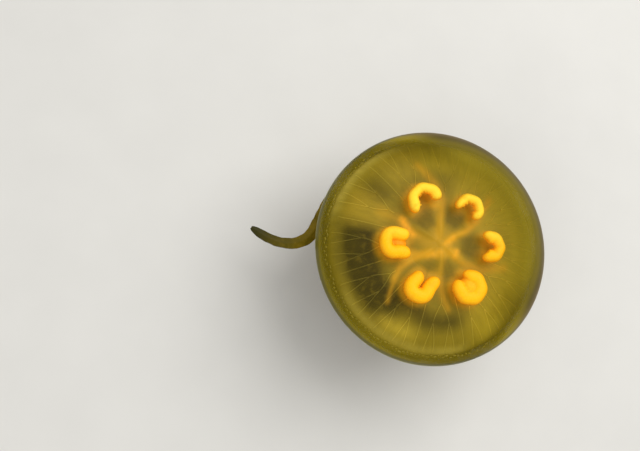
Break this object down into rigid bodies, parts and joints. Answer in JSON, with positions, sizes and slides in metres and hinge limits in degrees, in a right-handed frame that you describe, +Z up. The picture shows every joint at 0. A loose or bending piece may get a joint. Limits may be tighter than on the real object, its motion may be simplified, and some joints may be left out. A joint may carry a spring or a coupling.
{
  "type": "jellyfish",
  "caption": "Life-size moon jelly with a clear dome bell, golden horseshoe gonads, frilled oral arms and a fringe of fine tentacles, on a plain stand.",
  "frame": {"origin": "centre of the stand base's underside, on the bell's axis", "axes": "+Z up through the top of the bell, -X the way the long oral arm streams out past the rim, +Y at right angles to both"},
  "size_m": [0.2498, 0.2, 0.158],
  "materials": {
    "jelly": "wet, satin, translucent olive gold",
    "gonad": "moist, golden yellow, finely ruffled",
    "arm_flesh": "wet, satin, olive gold, frilled edges",
    "stand_black": "satin black acrylic",
    "stand_steel": "fine brushed stainless steel"
  },
  "bodies": {
    "root": {"bell_crown": "jelly", "bell_flank_1": "jelly", "bell_flank_2": "jelly", "bell_flank_3": "jelly", "bell_flank_4": "jelly", "bell_flank_5": "jelly", "bell_flank_6": "jelly", "lappet_01": "jelly", "lappet_02": "jelly", "lappet_03": "jelly", "lappet_04": "jelly", "lappet_05": "jelly", "lappet_06": "jelly", "lappet_07": "jelly", "lappet_08": "jelly", "lappet_09": "jelly", "lappet_10": "jelly", "lappet_11": "jelly", "lappet_12": "jelly", "stomach_floor": "jelly", "mouth_tube": "arm_flesh", "gonad_1": "gonad", "gonad_2": "gonad", "gonad_3": "gonad", "gonad_4": "gonad", "gonad_5": "gonad", "gonad_6": "gonad", "arm_1_root": "arm_flesh", "arm_1_middle": "arm_flesh", "arm_1_tip": "arm_flesh", "arm_2_root": "arm_flesh", "arm_2_middle": "arm_flesh", "arm_2_tip": "arm_flesh", "arm_3_root": "arm_flesh", "arm_3_middle": "arm_flesh", "arm_3_tip": "arm_flesh", "arm_4_root": "arm_flesh", "arm_4_middle": "arm_flesh", "arm_4_tip": "arm_flesh", "arm_5_root": "arm_flesh", "arm_5_middle": "arm_flesh", "arm_5_tip": "arm_flesh", "arm_6_root": "arm_flesh", "arm_6_middle": "arm_flesh", "arm_6_tip": "arm_flesh", "stand_base": "stand_black", "stand_foot_1": "stand_steel", "stand_rod_1": "stand_steel", "stand_saddle_1": "stand_steel", "stand_foot_2": "stand_steel", "stand_rod_2": "stand_steel", "stand_saddle_2": "stand_steel"}
  },
  "joints": []
}
